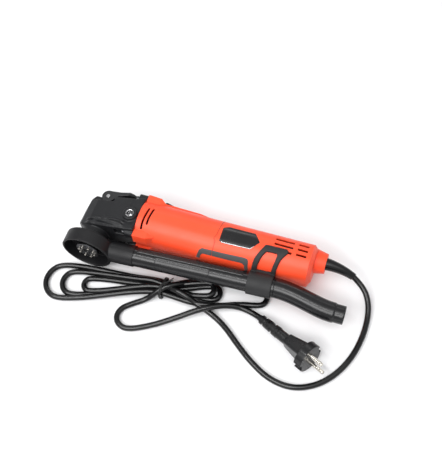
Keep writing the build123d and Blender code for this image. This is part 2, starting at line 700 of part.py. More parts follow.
# ---- assembly ----------------------------------------------------------------------------
def build():
    add("gear_head", gear_head())
    add("side_handle_inserts", side_handle_inserts())
    add("gear_head_screws", gear_head_screws())
    ball_bearing("spindle_bearing_lower", yring, 14.0, SPINDLE_R + 0.02, -28.0, -20.6)
    add("bearing_circlip", yring(14.0, 11.5, -30.0, -28.8))
    add("spindle_seal", yring(13.9, 9.9, -38.8, -35.0))
    ball_bearing("spindle_bearing_upper", yring, 10.5, SPINDLE_R + 0.02, 4.0, 9.0)
    add("spindle", spindle())
    add("fork_lever", fork_lever())
    add("tool_flange", tool_flange())
    add("flange_pins", flange_pins())
    add("clamp_rod", clamp_rod())
    add("clamp_lever", clamp_lever())
    add("lever_pin", lever_pin())

    add("rotor_shaft", rotor_shaft())
    add("eccentric_bush", eccentric_bush())
    add("eccentric_bearing", eccentric_bearing())
    ball_bearing("motor_bearing_front", xring, 11.0, 4.02, 46.1, 51.8)
    add("motor_bearing_plate", motor_bearing_plate())
    add("cooling_fan", cooling_fan())
    add("fan_baffle", fan_baffle())
    add("armature_core", armature_core())
    add("armature_windings", armature_windings())
    add("commutator", commutator())
    ball_bearing("motor_bearing_rear", xring, 9.5, 4.02, 143.2, 148.8)
    add("stator_core", stator_core())
    add("field_coils", field_coils())
    add("brush_holders", brush_holders())
    add("carbon_brushes", carbon_brushes())
    add("brush_springs", brush_springs())

    add("motor_housing", motor_housing())
    left, right = rear_covers()
    add("rear_cover_left", left)
    add("rear_cover_right", right)
    add("cover_screws", cover_screws())
    for name, pair in (("label_plate", label_plates()), ("soft_grip", soft_grips())):
        add(name + "_left", pair[0])
        add(name + "_right", pair[1])
    add("slide_switch_knob", slide_knob())
    add("switch_rod", switch_rod())
    add("power_switch", power_switch())
    add("speed_dial", speed_dial())
    add("dial_potentiometer", dial_potentiometer())
    add("speed_board", speed_board())
    add("cord_clamp", cord_clamp())
    add("cord_clamp_screws", cord_clamp_screws())
    add("cord_guard", cord_guard())
    add("inner_cord", xcyl(CORD_R, 256, 272.4, NECK_Y))

    add("dust_hood", dust_hood())
    add("hood_clamp_screw", hood_clamp_screw())
    add("dust_tube", dust_tube())
    add("strap_clip", strap_clip())
    add("outlet_elbow", outlet_elbow())

    add("cord_lead", cord_tube("cord_lead", [tuple(GUARD_TIP)] + LEAD_ROUTE + [LEAD_END]))
    add("cord_hank", cord_hank())
    add("cord_tie", cord_tie())
    add("cord_tail", cord_tube("cord_tail", [TAIL_START] + TAIL_ROUTE + [PLUG_START]))
    add("plug_boot", in_plug_axes(plug_boot()))
    add("plug_body", in_plug_axes(plug_body()))
    add("plug_pins", in_plug_axes(plug_pins()))


SHIFT = Pos(-(X_START + X_END) / 2, -(Y_LOW + Y_TOP) / 2, REST_Z)


def write():
    os.makedirs("parts", exist_ok=True)
    for name, solid in NODES.items():
        export_step(SHIFT * solid, os.path.join("parts", name + ".step"))


build()
write()
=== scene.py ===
"""Looks of a corded oscillating multi tool that lies on its side with its lead tied in a hank.

The CAD nodes are the frame.  Lengths below are millimetres in the tool's own axes: X along the
motor from the spindle, Y up the spindle, Z towards the side that faces up.  at() turns them into
the frame's metres.  The stage, the lights and the camera are given in the frame's metres.
"""
import json
import math

import bmesh
import bpy
from mathutils import Matrix, Vector


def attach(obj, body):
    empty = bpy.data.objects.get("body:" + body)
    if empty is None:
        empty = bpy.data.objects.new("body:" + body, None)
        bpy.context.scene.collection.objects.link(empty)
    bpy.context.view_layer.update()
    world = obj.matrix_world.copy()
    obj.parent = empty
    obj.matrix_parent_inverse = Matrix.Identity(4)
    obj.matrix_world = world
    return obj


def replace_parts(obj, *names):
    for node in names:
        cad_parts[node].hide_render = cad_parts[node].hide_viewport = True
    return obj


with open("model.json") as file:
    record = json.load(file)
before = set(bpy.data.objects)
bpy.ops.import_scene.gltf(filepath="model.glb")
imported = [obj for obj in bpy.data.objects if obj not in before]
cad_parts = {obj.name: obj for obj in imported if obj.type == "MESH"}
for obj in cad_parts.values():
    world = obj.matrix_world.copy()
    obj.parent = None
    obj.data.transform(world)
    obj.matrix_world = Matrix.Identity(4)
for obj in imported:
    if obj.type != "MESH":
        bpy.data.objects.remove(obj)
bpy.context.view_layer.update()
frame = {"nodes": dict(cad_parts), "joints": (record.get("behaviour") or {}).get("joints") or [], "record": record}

MM = 0.001
joints = {joint["name"]: joint for joint in frame["joints"]}
SPINDLE = Vector(joints["spindle_swing"]["pos_m"])
MOTOR = Vector(joints["rotor_spin"]["pos_m"])
ZERO = Vector((SPINDLE.x, MOTOR.y, MOTOR.z))
FLOOR = -ZERO.z / MM


def at(x, y, z):
    return ZERO + MM * Vector((x, y, z))


# ---- materials ---------------------------------------------------------------------------
DRIFT_SCALE, EDGE_HIGHLIGHT_SCALE, HANDLED_SCALE, WAVE_SCALE = 28.0, 260.0, 45.0, 90.0     # noise cycles per metre
# width in mm of the painted highlight along sharp edges
EDGE_HIGHLIGHT_WIDTH = 0.7


def link(tree, start, end):
    tree.links.new(start, end)


def noise(tree, coords, scale, detail=3.0, stretch=None):
    """Noise over an object's metres, stretched along an axis if asked."""
    if stretch:
        mapping = tree.nodes.new("ShaderNodeMapping")
        mapping.inputs["Scale"].default_value = stretch
        link(tree, coords, mapping.inputs["Vector"])
        coords = mapping.outputs["Vector"]
    made = tree.nodes.new("ShaderNodeTexNoise")
    made.inputs["Scale"].default_value = scale
    made.inputs["Detail"].default_value = detail
    link(tree, coords, made.inputs["Vector"])
    return made.outputs["Fac"]


def spread(tree, value, low, high, start=0.3, end=0.7):
    """Maps a noise value from start..end to low..high."""
    made = tree.nodes.new("ShaderNodeMapRange")
    for name, number in (("From Min", start), ("From Max", end), ("To Min", low), ("To Max", high)):
        made.inputs[name].default_value = number
    link(tree, value, made.inputs["Value"])
    return made.outputs["Result"]


def mix_colour(tree, share, first, second):
    made = tree.nodes.new("ShaderNodeMix")
    made.data_type = "RGBA"
    for socket, value in (("A", first), ("B", second)):
        target = [s for s in made.inputs if s.name == socket and s.type == "RGBA"][0]
        if isinstance(value, bpy.types.NodeSocket):
            link(tree, value, target)
        else:
            target.default_value = (*value, 1)
    link(tree, share, made.inputs["Factor"])
    return [s for s in made.outputs if s.type == "RGBA"][0]


def edge_mask(tree, radius):
    """1 on sharp outer edges and 0 on flat faces."""
    bevel = tree.nodes.new("ShaderNodeBevel")
    bevel.inputs["Radius"].default_value = radius
    bevel.samples = 4
    shape = tree.nodes.new("ShaderNodeNewGeometry")
    dot = tree.nodes.new("ShaderNodeVectorMath")
    dot.operation = "DOT_PRODUCT"
    link(tree, bevel.outputs["Normal"], dot.inputs[0])
    link(tree, shape.outputs["Normal"], dot.inputs[1])
    return spread(tree, dot.outputs["Value"], 1.0, 0.0, 0.86, 0.99)


def surface(name, colour, tone=None, rough=0.4, rough_change=0.08, metal=0.0, grain=1800.0, grain_height=0.02,
            wave_height=0.0, edge_highlight=None, edge_highlight_share=0.5, rounding=0.4, brushed=None, shine=0.5, sheen=0.0):
    """A procedural material: colour that drifts, grain, slow waves, a painted highlight in patches on sharp edges
    and uneven gloss.
    Heights and the rounding of edges are millimetres."""
    material = bpy.data.materials.new(name)
    material.use_nodes = True
    tree = material.node_tree
    shader = tree.nodes["Principled BSDF"]
    shader.inputs["Metallic"].default_value = metal
    shader.inputs["Specular IOR Level"].default_value = shine
    shader.inputs["Sheen Weight"].default_value = sheen
    coords = tree.nodes.new("ShaderNodeTexCoord").outputs["Object"]

    drift = spread(tree, noise(tree, coords, DRIFT_SCALE, 4.0), 0.0, 1.0)
    mixed = mix_colour(tree, drift, colour, tone or [c * 0.86 for c in colour])
    # Painted highlight: sharp edges take a lighter colour in noise patches.
    if edge_highlight:
        edge_light = tree.nodes.new("ShaderNodeMath")
        edge_light.operation = "MULTIPLY"
        patches = noise(tree, coords, EDGE_HIGHLIGHT_SCALE, 5.0)
        link(tree, edge_mask(tree, EDGE_HIGHLIGHT_WIDTH * MM), edge_light.inputs[0])
        link(tree, spread(tree, patches, 0.0, edge_highlight_share, 0.42, 0.62), edge_light.inputs[1])
        mixed = mix_colour(tree, edge_light.outputs["Value"], mixed, edge_highlight)
    link(tree, mixed, shader.inputs["Base Color"])
    handled = noise(tree, coords, HANDLED_SCALE, 6.0)
    link(tree, spread(tree, handled, rough - rough_change, rough + rough_change), shader.inputs["Roughness"])

    bevel = tree.nodes.new("ShaderNodeBevel")
    bevel.inputs["Radius"].default_value = rounding * MM
    bevel.samples = 4
    normal = bevel.outputs["Normal"]
    for height, scale, stretch in ((wave_height, WAVE_SCALE, None), (grain_height, grain, brushed)):
        if height:
            bump = tree.nodes.new("ShaderNodeBump")
            bump.inputs["Distance"].default_value = height * MM
            bump.inputs["Strength"].default_value = 1.0
            link(tree, noise(tree, coords, scale, 2.0, stretch), bump.inputs["Height"])
            link(tree, normal, bump.inputs["Normal"])
            normal = bump.outputs["Normal"]
    link(tree, normal, shader.inputs["Normal"])
    return material


# The lighter colour each paint takes on sharp edges is a painted highlight; the red's is the pale red of its
# highlights.
PAINTS = {
    "head_paint": surface("head_paint", (0.012, 0.0125, 0.014), rough=0.42, shine=0.30, grain=1500,
                          grain_height=0.05, wave_height=0.12, edge_highlight=(0.20, 0.20, 0.21), edge_highlight_share=0.35,
                          rounding=0.8),
    "lever_black": surface("lever_black", (0.014, 0.0145, 0.016), rough=0.38, grain=2200, grain_height=0.03,
                           edge_highlight=(0.12, 0.12, 0.12), rounding=0.5),
    "steel": surface("steel", (0.62, 0.62, 0.63), rough=0.26, metal=1.0, grain=900, grain_height=0.012,
                     brushed=(1, 1, 14), rounding=0.25),
    "dark_steel": surface("dark_steel", (0.085, 0.085, 0.09), rough=0.36, metal=1.0, grain=1200,
                          grain_height=0.015, edge_highlight=(0.40, 0.40, 0.41), edge_highlight_share=0.8, rounding=0.25),
    "pin_steel": surface("pin_steel", (0.86, 0.82, 0.74), rough=0.15, rough_change=0.05, metal=1.0, grain=900,
                         grain_height=0.006, brushed=(1, 1, 10), rounding=0.2),
    "seal_rubber": surface("seal_rubber", (0.015, 0.015, 0.015), rough=0.6, grain_height=0.02),
    "laminations": surface("laminations", (0.30, 0.30, 0.32), rough=0.45, metal=1.0, grain=1400,
                           grain_height=0.05, brushed=(6, 0.2, 0.2)),
    "copper": surface("copper", (0.62, 0.26, 0.12), rough=0.32, metal=1.0, grain=1500, grain_height=0.06,
                      brushed=(0.3, 4, 4)),
    "aluminium": surface("aluminium", (0.66, 0.67, 0.68), rough=0.42, metal=1.0, grain=1100,
                         grain_height=0.05),
    "nylon": surface("nylon", (0.030, 0.030, 0.032), rough=0.5, grain_height=0.02),
    "carbon": surface("carbon", (0.025, 0.025, 0.026), rough=0.55, grain_height=0.03),
    "red_plastic": surface("red_plastic", (0.94, 0.080, 0.026), tone=(0.91, 0.072, 0.022), rough=0.44,
                           shine=0.42, rough_change=0.05, grain=2600, grain_height=0.012,
                           wave_height=0.05, edge_highlight=(0.95, 0.30, 0.20), edge_highlight_share=0.35, rounding=0.7),
    "label_film": surface("label_film", (0.008, 0.008, 0.009), rough=0.22, grain=3000, grain_height=0.004,
                          rounding=0.3),
    "grip_rubber": surface("grip_rubber", (0.052, 0.053, 0.055), rough=0.62, rough_change=0.06, grain=2400,
                           grain_height=0.05, rounding=0.4, sheen=0.15),
    "black_plastic": surface("black_plastic", (0.009, 0.009, 0.010), rough=0.46, shine=0.28, grain=2600,
                             grain_height=0.035, wave_height=0.06, edge_highlight=(0.09, 0.09, 0.09),
                             edge_highlight_share=0.4, rounding=0.5),
    "strap_plastic": surface("strap_plastic", (0.022, 0.022, 0.023), rough=0.55, shine=0.28, grain=2600,
                             grain_height=0.04, edge_highlight=(0.10, 0.10, 0.10), rounding=0.5),
    "tube_plastic": surface("tube_plastic", (0.008, 0.008, 0.009), rough=0.24, rough_change=0.05,
                            shine=0.42, grain=1400, grain_height=0.010, wave_height=0.03,
                            edge_highlight=(0.08, 0.08, 0.08), rounding=0.4),
    "circuit_board": surface("circuit_board", (0.02, 0.12, 0.05), rough=0.4, grain_height=0.01),
    "cord_rubber": surface("cord_rubber", (0.004, 0.004, 0.0045), rough=0.17, rough_change=0.04, shine=0.45,
                           grain=700, grain_height=0.012, wave_height=0.04, rounding=0.2),
    "tie_wire": surface("tie_wire", (0.014, 0.014, 0.014), rough=0.45, grain=2000, grain_height=0.03),
    "plug_plastic": surface("plug_plastic", (0.007, 0.007, 0.008), rough=0.30, shine=0.42, grain=2600,
                            grain_height=0.025, edge_highlight=(0.10, 0.10, 0.10), edge_highlight_share=0.35, rounding=0.4),
}
SILVER = surface("silver_line", (0.72, 0.73, 0.74), rough=0.30, metal=1.0, grain=1500, grain_height=0.01)

NODE_SLOT = {part["node"]: part["material_slot"] for part in frame["record"]["subparts"]}
for name, piece in frame["nodes"].items():
    piece.data.materials.clear()
    piece.data.materials.append(PAINTS[NODE_SLOT[name]])


# ---- mesh helpers ------------------------------------------------------------------------
def placed(name, data):
    """An object that holds the data, linked into the scene."""
    made = bpy.data.objects.new(name, data)
    bpy.context.scene.collection.objects.link(made)
    return made


def new_piece(name, points, faces, body, slot, paint=None):
    """A mesh piece from points in the tool's millimetres."""
    mesh = bpy.data.meshes.new(name)
    mesh.from_pydata([at(*p) for p in points], [], faces)
    mesh.validate()
    tidy = bmesh.new()
    tidy.from_mesh(mesh)
    bmesh.ops.recalc_face_normals(tidy, faces=tidy.faces)
    tidy.to_mesh(mesh)
    tidy.free()
    for face in mesh.polygons:
        face.use_smooth = True
    piece = placed(name, mesh)
    mesh.materials.append(paint or PAINTS[slot])
    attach(piece, body)
    return piece


def lathe_faces(rings, around, closed_ends=True):
    """Faces between rings of points that follow one another."""
    faces = []
    for i in range(rings - 1):
        for j in range(around):
            a, b = i * around + j, i * around + (j + 1) % around
            faces.append((a, b, b + around, a + around))
    if closed_ends:
        faces.append(tuple(range(around - 1, -1, -1)))
        faces.append(tuple((rings - 1) * around + j for j in range(around)))
    return faces


def strip_faces(rows, across):
    """Faces of an open sheet of points, row after row."""
    faces = []
    for i in range(rows - 1):
        for k in range(across - 1):
            a = i * across + k
            faces.append((a, a + 1, a + across + 1, a + across))
    return faces


def smooth_step(t):
    t = max(0.0, min(1.0, t))
    return t * t * (3 - 2 * t)


# ---- the motor housing's outer surface ---------------------------------------------------
SPLIT_X, REAR_X = 152.0, 266.0
FRONT_SECTION = (-26.0, 26.0, 29.0, 23.0)      # lowest y, highest y, half width, corner radius
REAR_SECTION = (-19.5, 27.0, 27.0, 21.0)
SINK = 0.3                       # how far plates and strips reach into the housing
RIM = 0.7                        # width of a plate's rounded rim


def section(x):
    """Lowest y, highest y, half width and corner radius of the housing at x."""
    t = max(0.0, (x - SPLIT_X) / (REAR_X - SPLIT_X))
    return [a + (b - a) * t for a, b in zip(FRONT_SECTION, REAR_SECTION)]


def housing_z(x, y):
    """Height of the housing's flank over a point of its side view."""
    low, high, half, r = section(x)
    into = max(low + r - y, y - (high - r), 0.0)
    return half - r + math.sqrt(max(r * r - into * into, 0.01))


def on_flank(x, y, lift, side=1):
    """A point lift millimetres off the housing's flank."""
    e = 0.05
    z = housing_z(x, y)
    slope_x = (housing_z(x + e, y) - housing_z(x - e, y)) / (2 * e)
    slope_y = (housing_z(x, y + e) - housing_z(x, y - e)) / (2 * e)
    normal = Vector((-slope_x, -slope_y, 1)).normalized()
    point = Vector((x, y, z)) + normal * lift
    return point.x, point.y, side * point.z


def rounded(points, radius, closed=True, steps=6):
    """An outline with its corners rounded by arcs."""
    out = []
    count = len(points)
    for i, point in enumerate(points):
        if not closed and i in (0, count - 1):
            out.append(Vector(point))
            continue
        p = Vector(point)
        a, b = Vector(points[i - 1]) - p, Vector(points[(i + 1) % count]) - p
        half = a.angle(b) / 2
        r = radius[i] if isinstance(radius, (list, tuple)) else radius
        reach = min(r / math.tan(half), a.length * 0.45, b.length * 0.45)
        start, end = p + a.normalized() * reach, p + b.normalized() * reach
        for k in range(steps + 1):
            t = k / steps
            out.append((1 - t) ** 2 * start + 2 * t * (1 - t) * p + t * t * end)
    return out


def resampled(points, step, closed=True):
    """The same line with points about a step apart."""
    line = list(points) + ([points[0]] if closed else [])
    out = []
    for a, b in zip(line, line[1:]):
        count = max(1, round((b - a).length / step))
        out += [a.lerp(b, k / count) for k in range(count)]
    return out if closed else out + [line[-1]]


def flank_plate(name, outline, radius, lift, slot, side):
    """A thin convex plate with a rounded rim that follows the housing's flank."""
    edge = resampled(rounded([Vector((x, y, 0)) for x, y in outline], radius), 0.9)
    centre = sum(edge, Vector()) / len(edge)
    size = min((p - centre).length for p in edge)
    profile = [(1.0, -SINK), (1.0, lift * 0.45), (1 - 0.35 * RIM / size, lift * 0.85), (1 - RIM / size, lift)]
    profile += [(1 - RIM / size - (1 - RIM / size) * k / 12, lift) for k in range(1, 12)]
    points = []
    for share, height in profile:
        for p in edge:
            q = centre.lerp(p, share)
            points.append(on_flank(q.x, q.y, height, side))
    faces = lathe_faces(len(profile), len(edge), closed_ends=False)
    last = (len(profile) - 1) * len(edge)
    points.append(on_flank(centre.x, centre.y, lift, side))
    faces += [(last + j, last + (j + 1) % len(edge), len(points) - 1) for j in range(len(edge))]
    return new_piece(name, points, faces, "housing", slot)


def flank_strip(name, line, radius, width, lift, slot, side, paint):
    """A raised strip with a rounded top along a line on the housing's flank."""
    across_count = 9
    corners = rounded([Vector((x, y, 0)) for x, y in line], radius, closed=False)
    path = resampled(corners, 0.8, closed=False)
    points = []
    for i, p in enumerate(path):
        along = (path[min(i + 1, len(path) - 1)] - path[max(i - 1, 0)]).normalized()
        across = Vector((-along.y, along.x, 0))
        end = min(i, len(path) - 1 - i) * 0.8
        rise = smooth_step(end / 1.6 + 0.15)
        for k in range(across_count):
            t = 2 * k / (across_count - 1) - 1
            height = lift * rise * (1 - abs(t) ** 6)
            if abs(t) > 0.99:
                height = -SINK
            q = p + across * (t * width / 2)
            points.append(on_flank(q.x, q.y, height, side))
    return new_piece(name, points, strip_faces(len(path), across_count), "housing", slot, paint)


def softened(node, voxel, rounds, name, body, paint=None):
    """A moulded copy of a CAD node, with its edges rounded off, that stands for the node."""
    source = frame["nodes"][node]
    copy = placed(name + "_base", source.data.copy())
    remesh = copy.modifiers.new("grid", "REMESH")
    remesh.mode = "VOXEL"
    remesh.voxel_size = voxel * MM
    ease = copy.modifiers.new("ease", "SMOOTH")
    ease.factor = 0.5
    ease.iterations = rounds
    bpy.context.view_layer.update()
    eased = copy.evaluated_get(bpy.context.evaluated_depsgraph_get())
    shape = bpy.data.meshes.new_from_object(eased)
    bpy.data.objects.remove(copy)
    shape.name = name
    shape.materials.clear()
    shape.materials.append(paint or PAINTS[NODE_SLOT[node]])
    for face in shape.polygons:
        face.use_smooth = True
    piece = placed(name, shape)
    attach(piece, body)
    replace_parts(piece, node)
    return piece


# ---- cord --------------------------------------------------------------------------------
CORD_R = 3.5
CORD_Z = FLOOR + CORD_R
CROSS_Z = CORD_Z + 2 * CORD_R + 1.5              # where one strand lies over another
OVER_TIE_Z = CORD_Z + 12.5                       # where the lead and the tail run over the hank
GUARD_TIP = Vector((317.2, 9.7, -9.6))
GUARD_DIR = Vector((0.85, -0.35, -0.39)).normalized()
GUARD_REACH = 17
LEAD_ROUTE = [
    tuple(GUARD_TIP), tuple(GUARD_TIP + GUARD_DIR * GUARD_REACH), (342.5, -12.5, -23),
    (346, -33, CORD_Z), (345, -58, CORD_Z), (339, -84, CORD_Z),
    (327, -108, CORD_Z), (309, -127, CORD_Z), (284, -138, CORD_Z),
    (256, -135, CORD_Z), (231, -122, CORD_Z), (209, -106, CORD_Z), (191, -91.5, CORD_Z),
    (176, -82.5, CORD_Z), (161, -76.5, CORD_Z + 1), (146, -73, CORD_Z + 4),
]
PLUG_START = (224.0, -66.9, CORD_Z + 3.0)
TAIL_ROUTE = [
    (84, -85, CORD_Z), (71, -94.5, CORD_Z), (60.5, -103.5, CORD_Z), (58, -114.5, CORD_Z),
    (63.5, -124, CORD_Z), (77, -128, CORD_Z), (104, -114, CORD_Z), (129, -97.5, CORD_Z + 3.5),
    (150, -83.2, CROSS_Z), (170, -70.8, CROSS_Z), (189, -62.5, CORD_Z + 4.5), (207, -60.5, CORD_Z),
    PLUG_START,
]
TIE_X, TIE_Y = 101.0, -66.0
TIE_REACH = 10                   # half the stretch over which the strands run straight
PITCH, RISE = 3.6, 6.2           # strands under the tie lie in two nested layers
LEAD_OVER = [(131, -69.5, OVER_TIE_Z), (116, -66.5, OVER_TIE_Z)]
TAIL_OVER = [(117, -59, OVER_TIE_Z), (102, -69, CORD_Z + 13.2), (92.5, -78.5, CORD_Z + 6)]
# Each loop: centre of its end, radius of its end, belly between tie and end, layer height.
LEFT_LOOPS = [((12, -86.0), 8.6, 0, 0), ((-8, -89.5), 15.8, 0, 0), ((-22, -91.5), 23.0, 0, 0)]
RIGHT_LOOPS = [((160, -52.5), 9.0, 0, 0), ((153, -52.5), 9.0, 0, 7.2), ((214, -41.5), 11.0, 8.0, 0)]


def slot_place(i):
    """Place across the tie and height of strand i, counted from the tool's side."""
    return TIE_Y + (3 - i) * PITCH, CORD_Z + (RISE if i % 2 else 0)


def hank_loop(centre, r, belly, layer, side, first, last):
    """Points from strand first at the tie, out to a loop's round end, and back as strand last."""
    (y0, z0), (y1, z1) = slot_place(first), slot_place(last)
    foot = Vector((TIE_X + TIE_REACH * side, (y0 + y1) / 2, 0))
    gap = abs(y0 - y1) / 2
    out = Vector((*centre, 0)) - foot
    ahead = out.normalized()
    up = Vector((-ahead.y, ahead.x, 0)) * side
    sign = 1 if y0 > y1 else -1

    def strand(way, z, shares):
        made = []
        for u in shares:
            s = smooth_step(u)
            width = gap + (r - gap) * s + belly * math.sin(math.pi * min(1, u / 0.8))
            height = z * (1 - s) + (CORD_Z + layer) * s
            made.append(foot + out * u + up * (way * width) + Vector((0, 0, height)))
        return made

    shares = (0.0, 0.25, 0.52, 0.8)
    points = strand(sign, z0, shares)
    bends = 5
    reach = r / math.cos(math.pi / bends / 2)
    for k in range(bends):
        a = math.pi / 2 - math.pi * (k + 0.5) / bends
        place = ahead * (reach * math.cos(a)) + up * (sign * reach * math.sin(a))
        points.append(foot + out + place + Vector((0, 0, CORD_Z + layer)))
    return points + strand(-sign, z1, shares[::-1])


def hank_route():
    route = []
    for turn in range(3):
        route += hank_loop(*LEFT_LOOPS[turn], -1, 2 - turn, 3 + turn)
        route += hank_loop(*RIGHT_LOOPS[turn], 1, 3 + turn, 2 - turn)
    return [tuple(p) for p in route[:-1]]


def curve_piece(name, points, radius, slot, sides=6):
    """A round piece of the housing body that follows a smooth line of points."""
    line = bpy.data.curves.new(name, "CURVE")
    line.dimensions = "3D"
    line.bevel_depth = radius * MM
    line.bevel_resolution = sides
    line.resolution_u = 8
    line.use_fill_caps = True
    spline = line.splines.new("NURBS")
    spline.points.add(len(points) - 1)
    for knot, point in zip(spline.points, points):
        knot.co = (*at(*point), 1)
    spline.order_u = 3
    spline.use_endpoint_u = True
    piece = placed(name, line)
    line.materials.append(PAINTS[slot])
    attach(piece, "housing")
    return piece


cord = curve_piece("mains_cord", LEAD_ROUTE + LEAD_OVER + hank_route() + TAIL_OVER + TAIL_ROUTE,
                   CORD_R, "cord_rubber", sides=8)
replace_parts(cord, "cord_lead", "cord_hank", "cord_tail")


# ---- label, grips and joint line on the motor housing ------------------------------------
def section_at(x, down, lift, side):
    """A point lift off the housing, a distance down its section from the motor's height."""
    low, high, half, r = section(x)
    straight = -(low + r)
    if down < straight:
        y, z, turn = -down, half, 0.0
    elif down < straight + r * math.pi / 2:
        turn = (down - straight) / r
        y, z = low + r - r * math.sin(turn), half - r + r * math.cos(turn)
    else:
        turn = math.pi / 2
        y, z = low, half - r - (down - straight - r * math.pi / 2)
    return x, y - lift * math.sin(turn), side * (z + lift * math.cos(turn))


def grip_band(name, outer, inner, side, open_start, open_end):
    """A soft band between two lines given as (x, distance down the section).
    An open end isn't rounded down, because the band goes on there."""
    pairs = []
    for k in range(len(outer) - 1):
        for step in range(8):
            t = step / 8
            pairs.append([Vector(line[k]).lerp(Vector(line[k + 1]), t) for line in (outer, inner)])
    pairs.append([Vector(outer[-1]), Vector(inner[-1])])
    across = 11
    points = []
    for i, (a, b) in enumerate(pairs):
        ends = 1.0
        if not open_start:
            ends = min(ends, smooth_step(i / 2 + 0.2))
        if not open_end:
            ends = min(ends, smooth_step((len(pairs) - 1 - i) / 2 + 0.2))
        for k in range(across):
            t = k / (across - 1)
            q = a.lerp(b, t)
            edge = abs(2 * t - 1)
            lift = -SINK if edge > 0.99 else GRIP_LIFT * ends * (1 - edge ** 8)
            points.append(section_at(q.x, q.y, lift, side))
    return new_piece(name, points, strip_faces(len(pairs), across), "housing", "grip_rubber")


LABEL_LIFT, GRIP_LIFT = 0.55, 0.7
LABEL = [(157, -9), (156.6, 8.6), (162.5, 12), (195.5, 12.6), (204, 2), (195.5, -9.4), (160.5, -11)]
LABEL_CORNERS = [1.2, 2, 3, 2, 1.5, 2, 1.5]
LABEL_LINE = [(158.6, -9.0), (160.9, -10.2), (195.0, -8.7), (199.0, -4.4)]
GRIP_FRONT = ([(131.4, 42), (133.6, 33.2), (135.4, 26.5), (138.8, 23.2), (151.8, 22.7)],
              [(136.6, 42), (137.6, 35.5), (139.6, 31.7), (142, 31.2), (151.8, 31.0)])
GRIP_REAR = ([(152.3, 22.7), (164, 22.2), (191, 20.5), (194.8, 21), (196.5, 23.6), (196.5, 42)],
             [(152.3, 31.0), (165, 30.9), (186, 29.9), (189.2, 30.4), (191.6, 32.8), (191.7, 42)])
JOINT_LINE = [(153.2, 22.5), (153, 14), (152, -3.5), (149.8, -7.6), (152.8, -11.6), (152.3, -16),
              (152.2, -23.5)]
SEAM = surface("seam_shadow", (0.16, 0.010, 0.006), rough=0.6, grain_height=0.01)
for side, word in ((1, "left"), (-1, "right")):
    label = flank_plate("label_" + word, LABEL, LABEL_CORNERS, LABEL_LIFT, "label_film", side)
    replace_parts(label, "label_plate_" + word)
    flank_strip("label_line_" + word, LABEL_LINE, 1.2, 0.8, 0.68, "label_film", side, paint=SILVER)
    for end, (outer, inner) in (("front", GRIP_FRONT), ("rear", GRIP_REAR)):
        grip = grip_band(f"grip_{end}_{word}", outer, inner, side, end == "rear", end == "front")
        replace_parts(grip, "soft_grip_" + word)
    flank_strip("joint_line_" + word, JOINT_LINE, 0.8, 0.75, 0.04, "red_plastic", side, paint=SEAM)

# ---- moulded and cast pieces -------------------------------------------------------------
HEAD_RIDGE = [(-16, -23.5), (-5, -21.0), (9, -18.0), (28, -17.2), (46, -19.5)]
HEAD_GROOVE = [(-14, -27.0), (2, -23.5), (16, -21.4), (30, -21.2), (46, -23.6)]
RIDGE_HEIGHT, RIDGE_WIDTH = 2.1, 1.6
GROOVE_DEPTH, GROOVE_WIDTH = 2.3, 2.0


def line_height(line, x):
    """Height of a line of (x, y) points at x, straight between them."""
    for (x0, y0), (x1, y1) in zip(line, line[1:]):
        if x <= x1 or (x1, y1) == line[-1]:
            return y0 + (y1 - y0) * max(0.0, min(1.0, (x - x0) / (x1 - x0)))


head = softened("gear_head", 0.6, 9, "cast_head", "housing")
# The ridge and groove swell out of both flanks and fade towards the head's ends.
for vertex in head.data.vertices:
    place = (vertex.co - ZERO) / MM
    flank = smooth_step((abs(place.z) - 14) / 3)
    ends = smooth_step((place.x + 15) / 12) * smooth_step((41 - place.x) / 7)
    crest = math.exp(-((place.y - line_height(HEAD_RIDGE, place.x)) / RIDGE_WIDTH) ** 2)
    hollow = math.exp(-((place.y - line_height(HEAD_GROOVE, place.x)) / GROOVE_WIDTH) ** 2)
    push = flank * ends * (RIDGE_HEIGHT * crest - GROOVE_DEPTH * hollow)
    vertex.co.z += math.copysign(push * MM, place.z)
softened("clamp_lever", 0.35, 4, "pressed_lever", "clamp_lever")
softened("strap_clip", 0.5, 3, "moulded_strap", "housing", paint=PAINTS["strap_plastic"])
softened("dust_hood", 0.55, 3, "moulded_hood", "housing")
softened("outlet_elbow", 0.6, 4, "moulded_elbow", "housing")
softened("slide_switch_knob", 0.3, 3, "moulded_knob", "switch")
softened("plug_body", 0.4, 4, "moulded_plug", "housing")

# ---- threads for the side handle ---------------------------------------------------------
HANDLE_X, HANDLE_Y = 41.5, -6.0
AROUND = 48


def turned(name, profile, slot):
    """The same turned shape on both flanks, on the handle axis, from a profile of (radius, height)."""
    points, faces = [], []
    for side in (1, -1):
        start = len(points)
        for r, z in profile:
            for k in range(AROUND):
                a = 2 * math.pi * k / AROUND
                points.append((HANDLE_X + r * math.cos(a), HANDLE_Y + r * math.sin(a), side * z))
        for face in lathe_faces(len(profile), AROUND, closed_ends=False):
            faces.append(tuple(start + v for v in face))
    return new_piece(name, points, faces, "housing", slot)


THREAD_TOP, THREAD_STEP = 30.0, 0.8
THREAD_ROOT_R, THREAD_CREST_R = 3.95, 3.4
thread = [(6.0, 22.4), (6.0, 31.0), (4.5, 31.02), (3.9, 30.4)]
for turn in range(8):
    thread.append((THREAD_ROOT_R, THREAD_TOP - THREAD_STEP * turn))
    thread.append((THREAD_CREST_R, THREAD_TOP - THREAD_STEP * (turn + 0.5)))
thread += [(THREAD_CREST_R, 23.3), (0.05, 23.2)]
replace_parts(turned("handle_threads", thread, "steel"), "side_handle_inserts")
COLLAR = [(8.75, 22), (8.75, 30.4), (8.5, 31.0), (7.9, 31.4), (5.6, 31.42), (5.0, 31.3), (4.75, 30.9),
          (4.75, 30.2)]
turned("handle_collars", COLLAR, "head_paint")

